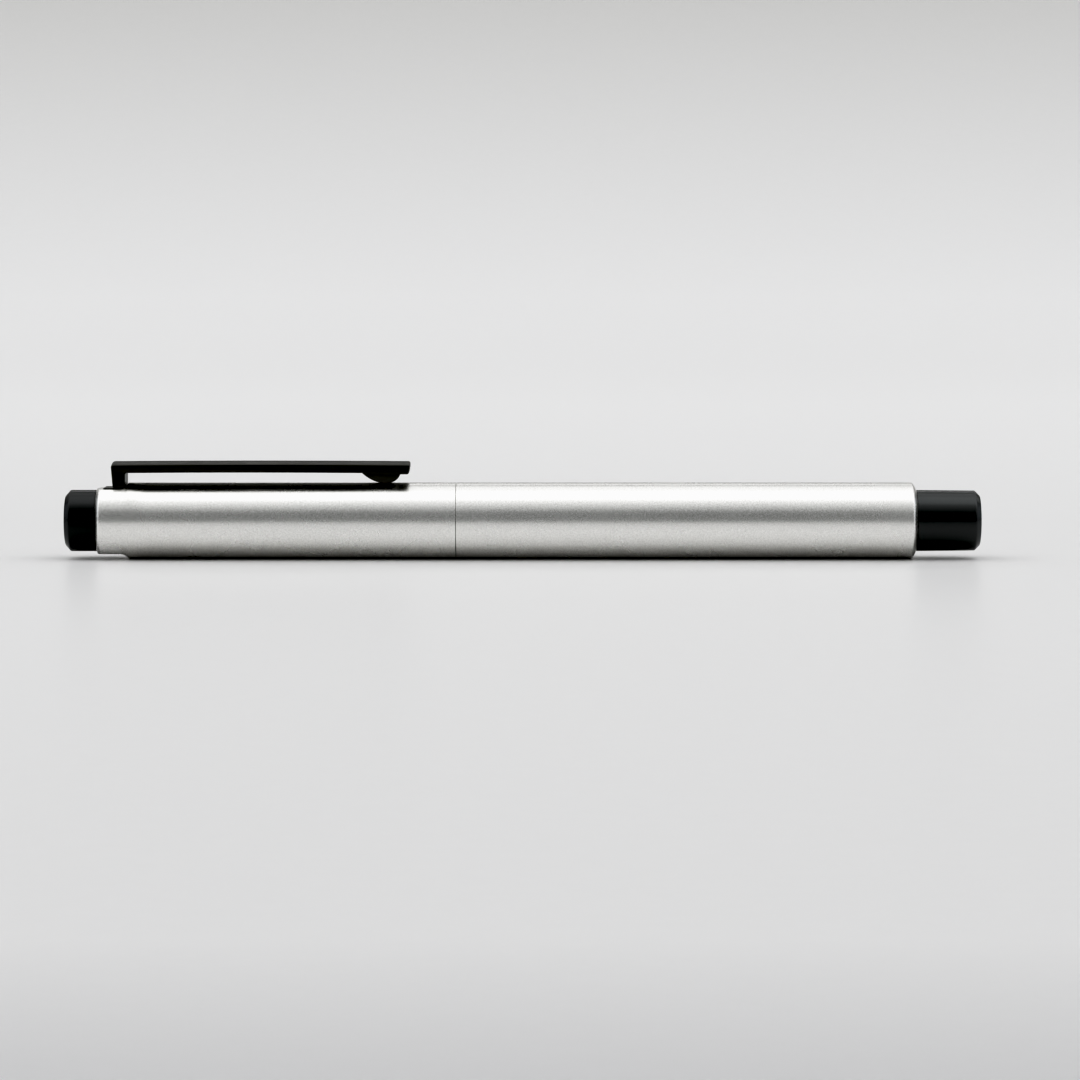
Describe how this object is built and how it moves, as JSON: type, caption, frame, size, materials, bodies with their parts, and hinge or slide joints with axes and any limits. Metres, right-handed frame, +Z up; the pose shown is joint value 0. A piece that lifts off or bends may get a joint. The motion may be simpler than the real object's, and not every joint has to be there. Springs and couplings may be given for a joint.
{
  "type": "technical pen",
  "caption": "Round satin aluminium drawing pen with a push-on cap, a black pocket clip, black end pieces and a tubular nib fed from a cartridge.",
  "frame": {"origin": "on the surface the pen lies on, under the middle of its length", "axes": "+X along the pen to the rear of the barrel, +Y across it, +Z up, with the clip on top"},
  "size_m": [0.14, 0.0116, 0.015],
  "materials": {
    "satin_aluminium": "bead-blasted and clear anodised",
    "black_anodised": "black anodised, satin",
    "black_coating": "black coated spring steel, satin",
    "black_plastic": "fine matte",
    "rubber": "matte",
    "steel": "polished",
    "brass": "turned",
    "white_plastic": "satin",
    "clear_plastic": "translucent, gloss"
  },
  "bodies": {
    "front_section": {"grip_section": "black_plastic", "section_o_ring": "rubber", "ink_feed": "white_plastic", "ink_cartridge": "clear_plastic", "cartridge_seal": "rubber"},
    "barrel": {"barrel_tube": "satin_aluminium"},
    "knob": {"rear_knob": "black_anodised", "rear_knob_ring": "rubber"},
    "cap": {"cap_tube": "satin_aluminium", "cap_finial": "black_anodised", "clip_base_plate": "black_coating", "clip_screw_left": "steel", "clip_screw_right": "steel", "seal_spring": "steel"},
    "clip_arm": {"clip": "black_coating"},
    "seal_cup": {"inner_cap": "white_plastic", "nib_seal": "rubber"},
    "nib": {"nib_holder": "black_plastic", "nib_body": "steel", "nib_tube": "steel", "nib_plug": "white_plastic"},
    "weight": {"drop_weight": "brass", "cleaning_wire": "steel"}
  },
  "joints": [
    {"name": "cap_slide", "type": "slide", "parent": "front_section", "child": "cap", "axis": [-1, 0, 0], "range_m": [0, 0.06]},
    {"name": "clip_flex", "type": "hinge", "parent": "cap", "child": "clip_arm", "pos_m": [-0.06258, 0, 0.01098], "axis": [0, -1, 0], "range_deg": [0, 4], "stiffness_Nm_per_rad": 1},
    {"name": "seal_slide", "type": "slide", "parent": "cap", "child": "seal_cup", "axis": [-1, 0, 0], "range_m": [0, 0.0012], "stiffness_N_per_m": 300, "deforming": ["seal_spring"]},
    {"name": "barrel_turn", "type": "hinge", "parent": "front_section", "child": "barrel", "pos_m": [0, 0, 0.00583], "axis": [1, 0, 0], "continuous": true},
    {"name": "knob_turn", "type": "hinge", "parent": "barrel", "child": "knob", "pos_m": [0.06, 0, 0.00583], "axis": [1, 0, 0], "continuous": true},
    {"name": "nib_turn", "type": "hinge", "parent": "front_section", "child": "nib", "pos_m": [-0.038, 0, 0.00583], "axis": [1, 0, 0], "continuous": true},
    {"name": "weight_slide", "type": "slide", "parent": "nib", "child": "weight", "axis": [1, 0, 0], "range_m": [0, 0.002]}
  ]
}
